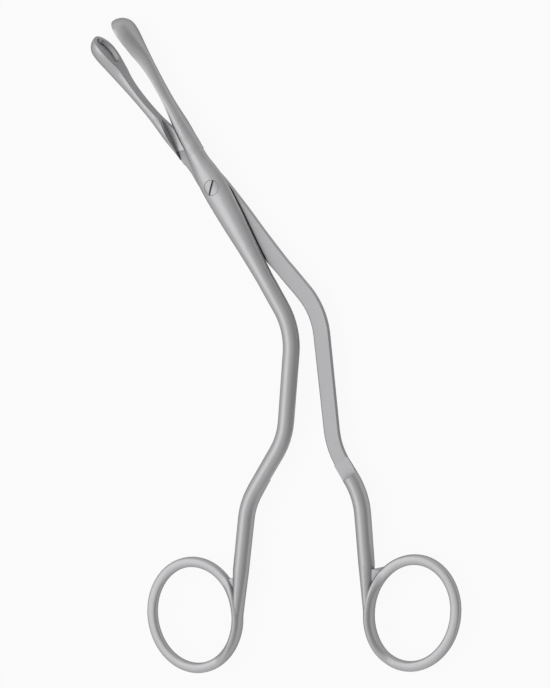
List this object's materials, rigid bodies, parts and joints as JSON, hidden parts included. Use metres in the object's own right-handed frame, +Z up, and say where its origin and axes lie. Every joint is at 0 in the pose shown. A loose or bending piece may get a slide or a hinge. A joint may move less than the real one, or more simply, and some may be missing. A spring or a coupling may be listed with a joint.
{
  "type": "septum compression forceps",
  "caption": "Steel forceps: long crossing arms on a screw, slim spoon jaws with an oval recess, offset bent shafts and finger rings.",
  "frame": {"origin": "centre of the half open instrument's footprint, on the surface it lies on", "axes": "+Z up from that surface along the pivot towards the screw's head, +Y towards the jaws' end, +X towards the rear arm's finger ring"},
  "size_m": [0.1225, 0.1989, 0.0104],
  "materials": {
    "arm_steel": "satin",
    "screw_steel": "satin"
  },
  "bodies": {
    "front": {"front_arm": "arm_steel"},
    "rear": {"rear_arm": "arm_steel", "pivot_screw": "screw_steel"}
  },
  "joints": [
    {"name": "pivot", "type": "hinge", "parent": "front", "child": "rear", "pos_m": [-0.0194, 0.0487, 0.0052], "axis": [0, 0, 1], "range_deg": [-7.2, 18]}
  ]
}
